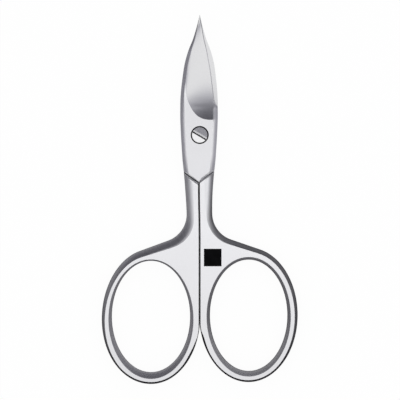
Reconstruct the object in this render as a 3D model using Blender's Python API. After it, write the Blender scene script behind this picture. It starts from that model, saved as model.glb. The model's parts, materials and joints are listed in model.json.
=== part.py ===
"""Nail scissors: two forged steel halves that cross at a slotted pivot screw.

The front half carries the blade with its edge on the right, and the right shank and bow.
The back half is its mate: the blade behind, and the left shank and bow. Each half is drawn
in the pivot's own frame, with the pivot at the origin and the blade along +Y.
"""
import math

import bmesh
import bpy
from mathutils import Vector

MM = 0.001

# Blades, from the pivot to the tip
BLADE_LENGTH = 29.2 * MM
BLADE_HALF_WIDTH = 4.52 * MM
CURVE_START = 4.2 * MM
CURVE_RADIUS = 65.0 * MM
SPINE_THICKNESS = 1.35 * MM
TIP_THICKNESS = 0.5 * MM
EDGE_THICKNESS = 0.22 * MM
EDGE_LAND = 0.14 * MM
SPINE_BEVEL = 0.85 * MM
RUNOUT_HEIGHT = 3.7 * MM
RUNOUT_RISE = 8.0 * MM
HOLLOW_LENGTH = 9.0 * MM
TIP_WIDTH = 0.12 * MM

# Lap joint
PLATE_THICKNESS = 1.75 * MM
PLATE_BEVEL = 0.8 * MM
LAP_GAP = 0.12 * MM
BACK_STEP = 0.1 * MM
PLATE_STRAIGHT = 6.2 * MM
VEE_APEX = 11.2 * MM
VEE_RISE = 2.6 * MM
VEE_HALF_WIDTH = 3.72 * MM
VEE_GAP = 0.2 * MM
VEE_CHAMFER = 0.2 * MM
TUCK_LENGTH = 1.2 * MM

# Shanks
HANDLE_THICKNESS = 3.3 * MM
SHANK_HALF_WIDTH = 3.17 * MM
SHANK_GAP = 0.24 * MM
INNER_BEVEL = 0.1 * MM
SHOULDER_ANGLE = math.radians(75.0)
SHOULDER_RADIUS = 6.95 * MM
FACE_SHOULDER_RADIUS = 5.9 * MM

# Bows and their finger loops
BOW_OFFSET = 11.9 * MM
BOW_HALF_WIDTH = 12.02 * MM
LOOP_HALF_WIDTH = 9.55 * MM
LOOP_HALF_HEIGHT = 13.64 * MM
BOW_RIM = 0.76 * MM
BOW_INNER_RIM = 0.27 * MM
LOOP_RIM = 0.78 * MM
LOOP_END_RIM = 0.96 * MM
BACK_RIM = 0.65 * MM

# Pivot screw
HEAD_RADIUS = 2.15 * MM
HEAD_THICKNESS = 0.8 * MM
HEAD_CHAMFER = 0.16 * MM
HEAD_SEAT_DEPTH = 0.5 * MM
HEAD_CLEARANCE = 0.14 * MM
PIN_RADIUS = 1.25 * MM
THREAD_RADIUS = 1.0 * MM
RUNNING_CLEARANCE = 0.05 * MM
SLOT_WIDTH = 0.66 * MM
SLOT_DEPTH = 0.45 * MM
SLOT_ANGLE = math.radians(-30.8)

# Plain dark inlay on the right bow
INLAY_SIZE = 4.2 * MM
INLAY_THICKNESS = 0.3 * MM
INLAY_FROM_CENTRE = 3.17 * MM
INLAY_FROM_PIVOT = 29.9 * MM
INLAY_SINK = 0.03 * MM
INLAY_GAP = 0.05 * MM
INLAY_BEVEL = 0.06 * MM

# How far a cutter runs past what it cuts
OVERRUN = 2.0 * MM

# The two halves: bow reach is from the pivot to the middle of the finger loop, and face drop
# is how far the ground face sits below the middle of the bow
HALVES = {
    "front_half": {
        "side": 1,
        "bow_reach": 43.97 * MM,
        "bow_half_height": 16.36 * MM,
        "face_drop": 0.33 * MM,
        "end_rim": 0.66 * MM,
        "shank_bevel": 1.1 * MM,
    },
    "back_half": {
        "side": -1,
        "bow_reach": 44.26 * MM,
        "bow_half_height": 16.54 * MM,
        "face_drop": 0.61 * MM,
        "end_rim": 0.89 * MM,
        "shank_bevel": 1.34 * MM,
    },
}

# Spine line: (share of the blade length, share of the blade's half width)
spine_shares = (
    (-0.45, 0.79), (-0.325, 0.807), (-0.226, 0.869), (-0.127, 0.915), (0.075, 0.985),
    (0.161, 1.0), (0.277, 0.996), (0.377, 0.96), (0.476, 0.892), (0.579, 0.801),
    (0.627, 0.735), (0.712, 0.575), (0.795, 0.362), (0.87, 0.215), (0.932, 0.106), (1.0, 0.0),
)
# Cutting edge: (share of the blade length, share of the spine's own half width there)
edge_shares = (
    (-0.45, 1.0), (0.128, 1.0), (0.155, 0.845), (0.233, 0.84), (0.377, 0.777), (0.544, 0.703),
    (0.627, 0.655), (0.712, 0.655), (0.795, 0.68), (0.928, 0.77), (1.0, 1.0),
)
# Stations of the plate up to the run-out, and of the blade from there to the tip
plate_station_shares = (0.0, 0.35, 0.6, 0.8, 1.0)
blade_station_shares = (
    0.02, 0.05, 0.09, 0.14, 0.2, 0.27, 0.35, 0.43, 0.51, 0.59, 0.66, 0.73, 0.8, 0.87, 0.94, 1.0,
)
# Columns over the face between its two bevels
face_column_shares = (0.0, 0.1, 0.22, 0.36, 0.52, 0.68, 0.84, 1.0)
# Side of a plate below its bevel, of the plate's thickness
side_height_share = 0.5
# A bevel's place across a station, and the most of the width that it may take
bevel_share = 0.108
bevel_limit_share = 0.33
# Width and height of the plate's end that is tucked into the shank
tuck_width_share = 0.7
tuck_height_share = 0.45
# How the run-out and the hollow fall away across the blade
runout_power = 3.8
hollow_power = 1.25
# Section of a shank or bow: (share of its thickness, contour it leans to, share of the way)
level_shares = (
    (0.0, "back", 1.0), (0.1, "back", 0.45), (0.3, "back", 0.1), (0.5, "back", 0.0),
    (0.66, "face", 0.12), (0.84, "face", 0.45), (1.0, "face", 1.0),
)
shank_flare_power = 1.7

BOW_STEPS = 56
LOOP_STEPS = 56
FILLET_STEPS = 10
SHANK_STEPS = 6
INNER_STEPS = 3
ROUND_STEPS = 48

# Heights that follow from the sizes above
BACK_PLATE_TOP = BACK_STEP + PLATE_THICKNESS
FRONT_PLATE_BOTTOM = BACK_PLATE_TOP + LAP_GAP
FRONT_PLATE_TOP = FRONT_PLATE_BOTTOM + PLATE_THICKNESS
VEE_SLOPE = VEE_RISE / VEE_HALF_WIDTH
BOW_BOTTOM = max(half["bow_reach"] + half["bow_half_height"] for half in HALVES.values())
PIVOT_Y = (BOW_BOTTOM - BLADE_LENGTH) / 2


def clear_scene():
    """Remove whatever the scene holds."""
    for item in list(bpy.data.objects):
        bpy.data.objects.remove(item, do_unlink=True)


def steel(name, colour, roughness, metallic=1.0):
    """A Principled material."""
    material = bpy.data.materials.new(name)
    material.use_nodes = True
    shader = material.node_tree.nodes["Principled BSDF"]
    shader.inputs["Base Color"].default_value = (*colour, 1.0)
    shader.inputs["Roughness"].default_value = roughness
    shader.inputs["Metallic"].default_value = metallic
    return material


def finish_object(name, bm, material=None, cutter=False):
    """Turn a bmesh into an object at the pivot, in flat triangles that point out."""
    bmesh.ops.recalc_face_normals(bm, faces=bm.faces)
    bmesh.ops.triangulate(bm, faces=bm.faces)
    mesh = bpy.data.meshes.new(name)
    bm.to_mesh(mesh)
    bm.free()
    mesh.shade_smooth()
    mesh.set_sharp_from_angle(angle=math.radians(30))
    item = bpy.data.objects.new(name, mesh)
    item.location = (0, PIVOT_Y, 0)
    bpy.context.collection.objects.link(item)
    if material:
        mesh.materials.append(material)
    if cutter:
        item.hide_render = True
        item.display_type = "WIRE"
    return item


def combine(item, operand, operation):
    """Add an exact Boolean to an object."""
    modifier = item.modifiers.new(operand.name, "BOOLEAN")
    modifier.object = operand
    modifier.operation = operation
    modifier.solver = "EXACT"


def smooth(table, position):
    """Value at a position on the monotone cubic through a table's rows."""
    position = min(max(position, table[0][0]), table[-1][0])
    index = max(i for i in range(len(table) - 1) if table[i][0] <= position)
    slopes = [(b[1] - a[1]) / (b[0] - a[0]) for a, b in zip(table, table[1:])]

    def tangent(row):
        if row == 0 or row == len(slopes):
            return slopes[min(row, len(slopes) - 1)]
        before, after = slopes[row - 1], slopes[row]
        if before * after <= 0:
            return 0.0
        return 2 * before * after / (before + after)

    start, end = table[index], table[index + 1]
    width = end[0] - start[0]
    t = (position - start[0]) / width
    rise_out = width * tangent(index)
    rise_in = width * tangent(index + 1)
    turn = 2 * start[1] - 2 * end[1] + rise_out + rise_in
    lean = 3 * end[1] - 3 * start[1] - 2 * rise_out - rise_in
    return start[1] + t * (rise_out + t * (lean + t * turn))


def spine(y):
    """Half width from the pivot's centre line to the spine, at a height along the blade."""
    half_width = BLADE_HALF_WIDTH * smooth(spine_shares, y / BLADE_LENGTH)
    return max(half_width, TIP_WIDTH / 2)


def edge(y):
    """Distance from the centre line to the edge opposite the spine."""
    return spine(y) * smooth(edge_shares, y / BLADE_LENGTH)


def blade_lift(y):
    """Height that the blades' curve adds, an arc that starts above the pivot."""
    run = max(y - CURVE_START, 0)
    return CURVE_RADIUS - math.sqrt(CURVE_RADIUS ** 2 - run ** 2)


def vee(x):
    """Line where the lap ends: a V with its point down, on the centre line."""
    return -VEE_APEX + VEE_SLOPE * abs(x)


def runout(across):
    """Lower border of the hollow, which climbs beside the spine."""
    return RUNOUT_HEIGHT + RUNOUT_RISE * (1 - across) ** runout_power


def face_height(across, y):
    """Thickness of the blade under its face: the flat plate, then the hollow."""
    depth = y - runout(across)
    if depth <= 0:
        return PLATE_THICKNESS
    to_tip = 1 - y / BLADE_LENGTH
    spine_height = TIP_THICKNESS + (SPINE_THICKNESS - TIP_THICKNESS) * to_tip
    hollow = EDGE_THICKNESS + (spine_height - EDGE_THICKNESS) * (1 - across) ** hollow_power
    share = 1 - (1 - min(depth / HOLLOW_LENGTH, 1)) ** 2
    return PLATE_THICKNESS + share * (hollow - PLATE_THICKNESS)


def section(y_at, tucked=False):
    """One station of a plate and blade: (x, y, height above the lap) over face and lap side.

    y_at gives the station's place along the blade for a share across its whole width. A tucked
    station is narrower and lower, and ends inside the shank.
    """
    face = []
    lap = []
    last = len(face_column_shares) - 1
    for number in range(-1, last + 2):
        on_face = face_column_shares[min(max(number, 0), last)]
        across = bevel_share + on_face * (1 - 2 * bevel_share)
        if number < 0:
            across = 0.0
        if number > last:
            across = 1.0
        y = y_at(across)
        left = -spine(y)
        right = edge(y)
        width = right - left
        blade_share = min(max((y - RUNOUT_HEIGHT) / EDGE_LAND, 0), 1)
        left_bevel = PLATE_BEVEL + blade_share * (SPINE_BEVEL - PLATE_BEVEL)
        right_bevel = PLATE_BEVEL + blade_share * (EDGE_LAND - PLATE_BEVEL)
        left_bevel = min(left_bevel, width * bevel_limit_share)
        right_bevel = min(right_bevel, width * bevel_limit_share)
        height = face_height(on_face, y)
        x = left + left_bevel + on_face * (width - left_bevel - right_bevel)
        if number < 0 or number > last:
            x = left if number < 0 else right
            height *= side_height_share
        if tucked:
            x *= tuck_width_share
            height *= tuck_height_share
        face.append((x, y, height))
        lap.append((x, y, 0.0))
    return face, lap


def blade_and_plate(name, side):
    """Skin the stations from the tuck below the lap's V up to the tip."""
    def vee_line(across):
        return vee((2 * across - 1) * VEE_HALF_WIDTH)

    stations = [
        section(lambda across: vee_line(across) - TUCK_LENGTH, tucked=True),
        section(vee_line),
    ]
    for share in plate_station_shares:
        stations.append(section(
            lambda across: -PLATE_STRAIGHT + share * (runout(across) + PLATE_STRAIGHT)))
    for share in blade_station_shares:
        stations.append(section(
            lambda across: runout(across) + share * (BLADE_LENGTH - runout(across))))
    lap_height = FRONT_PLATE_BOTTOM if side > 0 else BACK_PLATE_TOP

    def place(point):
        x, y, height = point
        return (side * x, y, lap_height + side * height + blade_lift(y))

    bm = bmesh.new()
    grid = []
    for face, lap in stations:
        grid.append([
            [bm.verts.new(place(point)) for point in face],
            [bm.verts.new(place(point)) for point in lap],
        ])
    columns = range(len(grid[0][0]) - 1)
    for (face, lap), (next_face, next_lap) in zip(grid, grid[1:]):
        for i in columns:
            bm.faces.new((face[i], face[i + 1], next_face[i + 1], next_face[i]))
            bm.faces.new((lap[i], next_lap[i], next_lap[i + 1], lap[i + 1]))
        for i in (0, -1):
            bm.faces.new((face[i], next_face[i], next_lap[i], lap[i]))
    for face, lap in (grid[0], grid[-1]):
        for i in columns:
            bm.faces.new((face[i], lap[i], lap[i + 1], face[i + 1]))
    return finish_object(name, bm)


def bow_outline(half, contour):
    """Outline of a shank and bow for one contour: its girth, its ground face or its back.

    It runs down the straight inner side, round the bow, along the shoulder line that touches
    the bow, round the shoulder's fillet and up the shank to the V.
    """
    centre_y = -half["bow_reach"]
    inner_x = SHANK_GAP / 2
    outer_rim = inner_rim = end_rim = shank_bevel = vee_bevel = vee_drop = 0.0
    radius = SHOULDER_RADIUS
    if contour == "face":
        centre_y -= half["face_drop"]
        inner_x += INNER_BEVEL
        outer_rim = BOW_RIM
        inner_rim = BOW_INNER_RIM
        end_rim = half["end_rim"]
        shank_bevel = half["shank_bevel"]
        vee_bevel = PLATE_BEVEL
        vee_drop = VEE_CHAMFER
        radius = FACE_SHOULDER_RADIUS
    if contour == "back":
        inner_x += INNER_BEVEL
        outer_rim = end_rim = shank_bevel = vee_bevel = BACK_RIM
        inner_rim = BOW_INNER_RIM
        vee_drop = VEE_CHAMFER
    half_height = half["bow_half_height"] - end_rim
    outer_half_width = BOW_HALF_WIDTH - outer_rim
    inner_half_width = BOW_HALF_WIDTH - inner_rim
    shank_x = SHANK_HALF_WIDTH - shank_bevel
    vee_x = VEE_HALF_WIDTH - vee_bevel

    start_angle = math.pi + math.acos(min((BOW_OFFSET - inner_x) / inner_half_width, 1))
    end_angle = 2 * math.pi + SHOULDER_ANGLE
    bow = []
    for step in range(BOW_STEPS + 1):
        angle = start_angle + step / BOW_STEPS * (end_angle - start_angle)
        reach = outer_half_width if math.cos(angle) > 0 else inner_half_width
        bow.append(Vector((
            BOW_OFFSET + reach * math.cos(angle), centre_y + half_height * math.sin(angle))))

    along = Vector((
        -outer_half_width * math.sin(end_angle), half_height * math.cos(end_angle))).normalized()
    to_shank = (shank_x - bow[-1].x) / along.x
    corner = bow[-1] + along * to_shank
    turn = math.acos(along.y)
    radius = min(radius, to_shank / math.tan(turn / 2))
    fillet_centre = Vector((shank_x + radius, corner.y + radius * math.tan(turn / 2)))
    fillet = []
    for step in range(FILLET_STEPS + 1):
        angle = math.pi + turn * (1 - step / FILLET_STEPS)
        fillet.append(fillet_centre + radius * Vector((math.cos(angle), math.sin(angle))))

    shank = []
    top = vee(vee_x) - vee_drop
    for step in range(1, SHANK_STEPS + 1):
        share = step / SHANK_STEPS
        shank.append(Vector((
            shank_x + (vee_x - shank_x) * share ** shank_flare_power,
            fillet[-1].y + share * (top - fillet[-1].y))))
    inner = []
    inner_top = vee(inner_x) - vee_drop
    for step in range(INNER_STEPS):
        share = step / INNER_STEPS
        inner.append(Vector((inner_x, inner_top + share * (bow[0].y - inner_top))))
    return inner + bow + fillet + shank


def loop_outline(half, contour):
    """Ellipse of the finger loop for one contour."""
    centre_y = -half["bow_reach"]
    width_rim = end_rim = 0.0
    if contour == "face":
        centre_y -= half["face_drop"]
        width_rim = LOOP_RIM
        end_rim = LOOP_END_RIM
    if contour == "back":
        width_rim = end_rim = BACK_RIM
    points = []
    for step in range(LOOP_STEPS):
        angle = 2 * math.pi * step / LOOP_STEPS
        points.append(Vector((
            BOW_OFFSET + (LOOP_HALF_WIDTH + width_rim) * math.cos(angle),
            centre_y + (LOOP_HALF_HEIGHT + end_rim) * math.sin(angle))))
    return points


def shank_and_bow(name, half):
    """Stack the levels of a shank and bow, and fill its face and back between the outlines."""
    side = half["side"]
    bm = bmesh.new()
    walls = []
    for outline in (bow_outline, loop_outline):
        girth = outline(half, "girth")
        rings = []
        for height_share, contour, way in level_shares:
            target = outline(half, contour)
            z = height_share * HANDLE_THICKNESS
            rings.append([
                bm.verts.new((side * p.x, p.y, z))
                for p in (a.lerp(b, way) for a, b in zip(girth, target))])
        for ring, above in zip(rings, rings[1:]):
            for i in range(len(ring)):
                bm.faces.new((ring[i - 1], ring[i], above[i], above[i - 1]))
        walls.append(rings)
    for level in (0, -1):
        border = []
        for rings in walls:
            ring = rings[level]
            for i in range(len(ring)):
                border.append(bm.edges.get((ring[i - 1], ring[i])))
        bmesh.ops.triangle_fill(bm, edges=border, use_beauty=True, normal=(0, 0, 1))
    return finish_object(name, bm, cutter=True)


def prism(name, corners, bottom, top):
    """Upright prism over a plan outline."""
    bm = bmesh.new()
    low = [bm.verts.new((x, y, bottom)) for x, y in corners]
    high = [bm.verts.new((x, y, top)) for x, y in corners]
    bm.faces.new(low)
    bm.faces.new(high)
    for i in range(len(corners)):
        bm.faces.new((low[i - 1], low[i], high[i], high[i - 1]))
    return finish_object(name, bm, cutter=True)


def turned(name, profile, material=None, cutter=False):
    """Solid of revolution round the pivot's axis from (radius, height) rows."""
    bm = bmesh.new()
    rings = []
    for radius, z in profile:
        ring = []
        for step in range(ROUND_STEPS):
            angle = 2 * math.pi * step / ROUND_STEPS
            ring.append(bm.verts.new((radius * math.cos(angle), radius * math.sin(angle), z)))
        rings.append(ring)
    for ring, above in zip(rings, rings[1:]):
        for i in range(ROUND_STEPS):
            bm.faces.new((ring[i - 1], ring[i], above[i], above[i - 1]))
    bm.faces.new(rings[0])
    bm.faces.new(rings[-1])
    return finish_object(name, bm, material, cutter)


def vee_cutter(name, side):
    """Cutter that ends a lap plate along the V, over the other half's shank."""
    inner = SHANK_GAP
    outer = VEE_HALF_WIDTH + OVERRUN
    bottom = -VEE_APEX - TUCK_LENGTH - OVERRUN
    corners = [
        (side * -inner, bottom),
        (side * outer, bottom),
        (side * outer, vee(outer) + VEE_GAP),
        (0, vee(0) + VEE_GAP),
        (side * -inner, vee(0) + VEE_GAP),
    ]
    return prism(name, corners, -OVERRUN, FRONT_PLATE_TOP + OVERRUN)


def slab(name, size, bottom, top, centre, turn=0.0, cutter=True, material=None):
    """Rectangular block over a plan centre, turned about its own upright axis."""
    bm = bmesh.new()
    bmesh.ops.create_cube(bm, size=1)
    cosine = math.cos(turn)
    sine = math.sin(turn)
    for vert in bm.verts:
        x = vert.co.x * size[0]
        y = vert.co.y * size[1]
        z = top if vert.co.z > 0 else bottom
        vert.co = (centre[0] + x * cosine - y * sine, centre[1] + x * sine + y * cosine, z)
    return finish_object(name, bm, material, cutter)


def build_front_half():
    """Blade and plate over the lap, with the right shank and bow."""
    half = HALVES["front_half"]
    item = blade_and_plate("front_half", half["side"])
    item.data.materials.append(steel("front_steel", (0.62, 0.62, 0.63), 0.32))
    combine(item, vee_cutter("front_vee_cutter", -half["side"]), "DIFFERENCE")
    combine(item, shank_and_bow("right_shank_and_bow", half), "UNION")
    seat_radius = HEAD_RADIUS + HEAD_CLEARANCE
    hole_radius = PIN_RADIUS + RUNNING_CLEARANCE
    seat = FRONT_PLATE_TOP - HEAD_SEAT_DEPTH
    hole = turned("front_pivot_cutter", [
        (hole_radius, FRONT_PLATE_BOTTOM - OVERRUN),
        (hole_radius, seat),
        (seat_radius, seat),
        (seat_radius, FRONT_PLATE_TOP + OVERRUN),
    ], cutter=True)
    combine(item, hole, "DIFFERENCE")
    pocket_size = INLAY_SIZE + 2 * INLAY_GAP
    floor = HANDLE_THICKNESS - INLAY_SINK - INLAY_THICKNESS - INLAY_GAP
    pocket = slab(
        "inlay_pocket_cutter", (pocket_size, pocket_size), floor, HANDLE_THICKNESS + OVERRUN,
        (INLAY_FROM_CENTRE, -INLAY_FROM_PIVOT))
    combine(item, pocket, "DIFFERENCE")


def build_back_half():
    """Blade and plate under the lap, with the left shank and bow."""
    half = HALVES["back_half"]
    item = blade_and_plate("back_half", half["side"])
    item.data.materials.append(steel("back_steel", (0.6, 0.6, 0.61), 0.32))
    combine(item, vee_cutter("back_vee_cutter", -half["side"]), "DIFFERENCE")
    combine(item, shank_and_bow("left_shank_and_bow", half), "UNION")
    hole_radius = THREAD_RADIUS + RUNNING_CLEARANCE
    hole = turned("back_pivot_cutter", [
        (hole_radius, -OVERRUN),
        (hole_radius, BACK_PLATE_TOP + OVERRUN),
    ], cutter=True)
    combine(item, hole, "DIFFERENCE")


def build_pivot_screw():
    """Slotted screw: head in its seat, plain pin through the front plate, end in the back."""
    head_bottom = FRONT_PLATE_TOP - HEAD_SEAT_DEPTH + RUNNING_CLEARANCE
    head_top = head_bottom + HEAD_THICKNESS
    pin_bottom = BACK_PLATE_TOP + RUNNING_CLEARANCE
    screw = turned("pivot_screw", [
        (THREAD_RADIUS, BACK_STEP),
        (THREAD_RADIUS, pin_bottom),
        (PIN_RADIUS, pin_bottom),
        (PIN_RADIUS, head_bottom),
        (HEAD_RADIUS, head_bottom),
        (HEAD_RADIUS, head_top - HEAD_CHAMFER),
        (HEAD_RADIUS - HEAD_CHAMFER, head_top),
    ], steel("screw_steel", (0.7, 0.7, 0.7), 0.25))
    slot = slab(
        "slot_cutter", (2 * HEAD_RADIUS + OVERRUN, SLOT_WIDTH), head_top - SLOT_DEPTH,
        head_top + OVERRUN, (0, 0), SLOT_ANGLE)
    combine(screw, slot, "DIFFERENCE")


def build_inlay():
    """Plain square of dark enamel in its pocket on the right bow."""
    top = HANDLE_THICKNESS - INLAY_SINK
    inlay = slab(
        "enamel_inlay", (INLAY_SIZE, INLAY_SIZE), top - INLAY_THICKNESS, top,
        (INLAY_FROM_CENTRE, -INLAY_FROM_PIVOT), cutter=False,
        material=steel("black_enamel", (0.01, 0.01, 0.011), 0.35, metallic=0.0))
    bevel = inlay.modifiers.new("edges", "BEVEL")
    bevel.width = INLAY_BEVEL
    bevel.segments = 2


clear_scene()
build_front_half()
build_back_half()
build_pivot_screw()
build_inlay()
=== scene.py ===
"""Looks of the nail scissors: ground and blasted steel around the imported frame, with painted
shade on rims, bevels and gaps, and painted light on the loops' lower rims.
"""
import json
import math

import bmesh
import bpy
import numpy as np
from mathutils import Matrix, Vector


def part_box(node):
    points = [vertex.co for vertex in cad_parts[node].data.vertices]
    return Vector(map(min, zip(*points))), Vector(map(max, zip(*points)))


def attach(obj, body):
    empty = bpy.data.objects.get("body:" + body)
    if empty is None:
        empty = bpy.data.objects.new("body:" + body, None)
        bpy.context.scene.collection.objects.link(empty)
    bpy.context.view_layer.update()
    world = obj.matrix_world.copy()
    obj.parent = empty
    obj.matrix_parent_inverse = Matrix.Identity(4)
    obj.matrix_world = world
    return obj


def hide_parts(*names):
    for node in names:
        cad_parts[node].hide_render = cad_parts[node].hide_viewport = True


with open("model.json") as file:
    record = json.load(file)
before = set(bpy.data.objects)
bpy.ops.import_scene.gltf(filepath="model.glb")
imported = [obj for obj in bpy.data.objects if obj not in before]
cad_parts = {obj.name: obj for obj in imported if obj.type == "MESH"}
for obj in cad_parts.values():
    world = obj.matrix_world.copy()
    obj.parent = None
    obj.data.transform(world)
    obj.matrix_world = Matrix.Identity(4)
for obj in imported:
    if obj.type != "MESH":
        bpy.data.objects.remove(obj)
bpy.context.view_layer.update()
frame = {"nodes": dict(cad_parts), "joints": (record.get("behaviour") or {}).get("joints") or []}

MM = 0.001

# What the frame says: the pivot and the reach of each half
PIVOT_Y = frame["joints"][0]["pos_m"][1]
FRONT_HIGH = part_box("front_half")[1]
HEAD_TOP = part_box("pivot_screw")[1].z
BLADE_LENGTH = FRONT_HIGH.y - PIVOT_Y
BOW_OUTER_X = FRONT_HIGH.x

# The lap and the shanks lean a little to the left of the pivot's line
LEAN = 0.17 * MM
LEAN_LOW = -24.0 * MM
LEAN_FULL = -13.0 * MM
LEAN_TOP = 6.0 * MM

# Blades
BLADE_HALF_WIDTH = 4.58 * MM
CURVE_START = 7.5 * MM
TIP_THICKNESS = 0.5 * MM
EDGE_THICKNESS = 0.1 * MM
EDGE_LAND = 0.14 * MM
SPINE_BEVEL = 0.85 * MM
RUNOUT_HEIGHT = 3.7 * MM
RUNOUT_RISE = 11.5 * MM
SPINE_TAPER_RISE = 7.3 * MM
SINK_LENGTH = 13.5 * MM
SINK_START_LENGTH = 7.8 * MM
EVEN_HEIGHT = 21.0 * MM
TIP_WIDTH = 0.12 * MM

# Lap joint
PLATE_THICKNESS = 1.75 * MM
PLATE_BEVEL = 1.15 * MM
BEVEL_TAPER_START = 6.0 * MM
BEVEL_TAPER_END = 8.8 * MM
LAP_GAP = 0.12 * MM
BACK_STEP = 0.1 * MM
PLATE_STRAIGHT = 6.2 * MM
VEE_APEX = 11.38 * MM
VEE_RISE = 2.6 * MM
VEE_HALF_WIDTH = 3.72 * MM
VEE_FACET = 0.46 * MM
VEE_BEVEL = 1.3 * MM
TUCK_LENGTH = 1.6 * MM
# Reach of the painted shade that darkens the bevels near the V, below the pivot
VEE_SHADE_START = 4.5 * MM
VEE_SHADE_END = 8.5 * MM

# Shanks and bows
HANDLE_THICKNESS = 3.3 * MM
SHANK_HALF_WIDTH = 3.13 * MM
SHANK_GAP = 0.01 * MM
GAP_SHIFT = 0.03 * MM
INNER_BEVEL = 0.22 * MM
SHOULDER_ANGLE = math.radians(76.0)
BOW_HALF_WIDTH = 12.02 * MM
LOOP_HALF_HEIGHT = 13.58 * MM
LOOP_DROP = 0.04 * MM
BOW_RIM = 0.7 * MM
BOW_INNER_RIM = 0.24 * MM
LEAST_RIM = 0.5 * MM
LOOP_RIM = 0.78 * MM
LOOP_END_RIM = 0.96 * MM
BACK_RIM = 0.65 * MM
FULL_RIM = 1.4 * MM
FULL_BEVEL = 0.85 * MM
BOW_OFFSET = BOW_OUTER_X - BOW_HALF_WIDTH

# Pivot screw
HEAD_RADIUS = 1.95 * MM
HEAD_THICKNESS = 0.8 * MM
HEAD_CHAMFER = 0.08 * MM
HEAD_ROOF = 0.44 * MM
HEAD_SEAT_DEPTH = 0.5 * MM
HEAD_CLEARANCE = 0.25 * MM
PIN_RADIUS = 1.25 * MM
THREAD_RADIUS = 1.0 * MM
RUNNING_CLEARANCE = 0.05 * MM
SLOT_LOW_SIDE = -0.42 * MM
SLOT_FLOOR_START = -0.35 * MM
SLOT_FLOOR_END = -0.19 * MM
SLOT_HIGH_SIDE = 0.5 * MM
SLOT_DEPTH = 0.4 * MM
SLOT_ANGLE = math.radians(-30.8)

# Dark inlay
INLAY_SIZE = 4.2 * MM
INLAY_THICKNESS = 0.3 * MM
INLAY_FROM_CENTRE = 3.17 * MM
INLAY_FROM_PIVOT = 29.9 * MM
INLAY_SINK = 0.03 * MM
INLAY_GAP = 0.05 * MM

# Reach of the cutters, margin in the box, merging distance and sharp edges
OVERRUN = 2.0 * MM
BOX_MARGIN = 0.002 * MM
MERGE = 0.0005 * MM
SHARP_ANGLE = math.radians(28.0)

# What differs between the halves
HALVES = {
    "front_half": {
        "side": 1, "bow_reach": 43.97 * MM, "bow_half_height": 16.36 * MM,
        "face_drop": 0.33 * MM, "end_rim": 0.72 * MM, "sag": 0.0, "crown_drop": -0.15 * MM,
        "shoulder_radius": 6.6 * MM, "face_shoulder_radius": 7.2 * MM,
        "shank_bevel": 0.82 * MM, "shank_share": 1.8,
        "loop_half_width": 9.45 * MM, "loop_shift": 0.055 * MM, "loop_share": 0.42,
        "vee_gap": 0.1 * MM, "vee_chamfer": 0.4 * MM, "vee_share": 0.6,
        "vee_inset": 0.27 * MM, "cut_drop": 0.15 * MM, "tuck_share": 0.92,
        "rim_level": 0.235,
    },
    "back_half": {
        "side": -1, "bow_reach": 44.26 * MM, "bow_half_height": 16.54 * MM,
        "face_drop": 0.61 * MM, "end_rim": 0.98 * MM, "sag": 0.65 * MM, "crown_drop": 0.12 * MM,
        "shoulder_radius": 7.0 * MM, "face_shoulder_radius": 7.4 * MM,
        "shank_bevel": 1.03 * MM, "shank_share": 1.0,
        "loop_half_width": 9.55 * MM, "loop_shift": 0.0, "loop_share": 0.2,
        "vee_gap": 0.4 * MM, "vee_chamfer": 0.6 * MM, "vee_share": 1.0,
        "vee_inset": 0.02 * MM, "cut_drop": 0.0, "tuck_share": 0.97,
        "rim_level": 0.3,
    },
}

# Spine line: (share of the blade length, share of the blade's half width)
spine_shares = (
    (-0.45, 0.79), (-0.325, 0.807), (-0.226, 0.869), (-0.127, 0.915), (0.075, 0.985),
    (0.161, 1.0), (0.277, 0.996), (0.377, 0.96), (0.476, 0.892), (0.579, 0.801),
    (0.627, 0.735), (0.712, 0.575), (0.795, 0.362), (0.87, 0.215), (0.932, 0.106), (1.0, 0.0),
)
# Cutting edge: (share of the blade length, share of the spine's own half width there)
edge_shares = (
    (-0.45, 1.0), (0.228, 1.0), (0.262, 0.88), (0.293, 0.81), (0.377, 0.765), (0.544, 0.703),
    (0.627, 0.655), (0.712, 0.655), (0.795, 0.68), (0.928, 0.77), (1.0, 1.0),
)
# Rim of a bow: (height share of the half thickness, share of the way in to the face)
bow_rim_shares = (
    (0.0, 0.0), (0.2, 0.047), (0.4, 0.175), (0.55, 0.321), (0.7, 0.508), (0.8, 0.654),
    (0.88, 0.784), (0.95, 0.9), (0.985, 0.96), (1.0, 1.0), (1.0, 1.03), (1.0, 1.06),
)
# Rounded side of a shank: the same, but it reaches further in over the face
shank_rim_shares = (
    (0.0, 0.0), (0.12, 0.02), (0.24, 0.05), (0.38, 0.21), (0.52, 0.39), (0.66, 0.6),
    (0.78, 0.81), (0.87, 1.02), (0.94, 1.25), (0.98, 1.48), (0.997, 1.7), (1.0, 1.85),
)
# End of a shank at the V: an upright side below a flat chamfer
vee_rim_shares = (
    (0.0, 0.0), (0.1, 0.01), (0.2, 0.02), (0.3, 0.03), (0.4, 0.04), (0.5, 0.05), (0.6, 0.07),
    (0.7, 0.1), (0.8, 0.4), (0.9, 0.7), (1.0, 1.0), (1.0, 1.06),
)
# Rim towards the back: (height share of the half thickness, share of the way in)
back_rim_shares = ((1.0, 1.0), (0.93, 0.84), (0.8, 0.585), (0.6, 0.293), (0.35, 0.08))

# Shares and powers that shape the surfaces
side_height_share = 0.58
bevel_straight_share = 0.5
blade_straight_share = 0.9
bevel_share = 0.108
bevel_limit_share = 0.17
facet_shares = (0.5, 0.56)
tuck_height_share = 0.3
tuck_fall_share = 0.7
tuck_fall_power = 3
ground_power = 2
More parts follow.
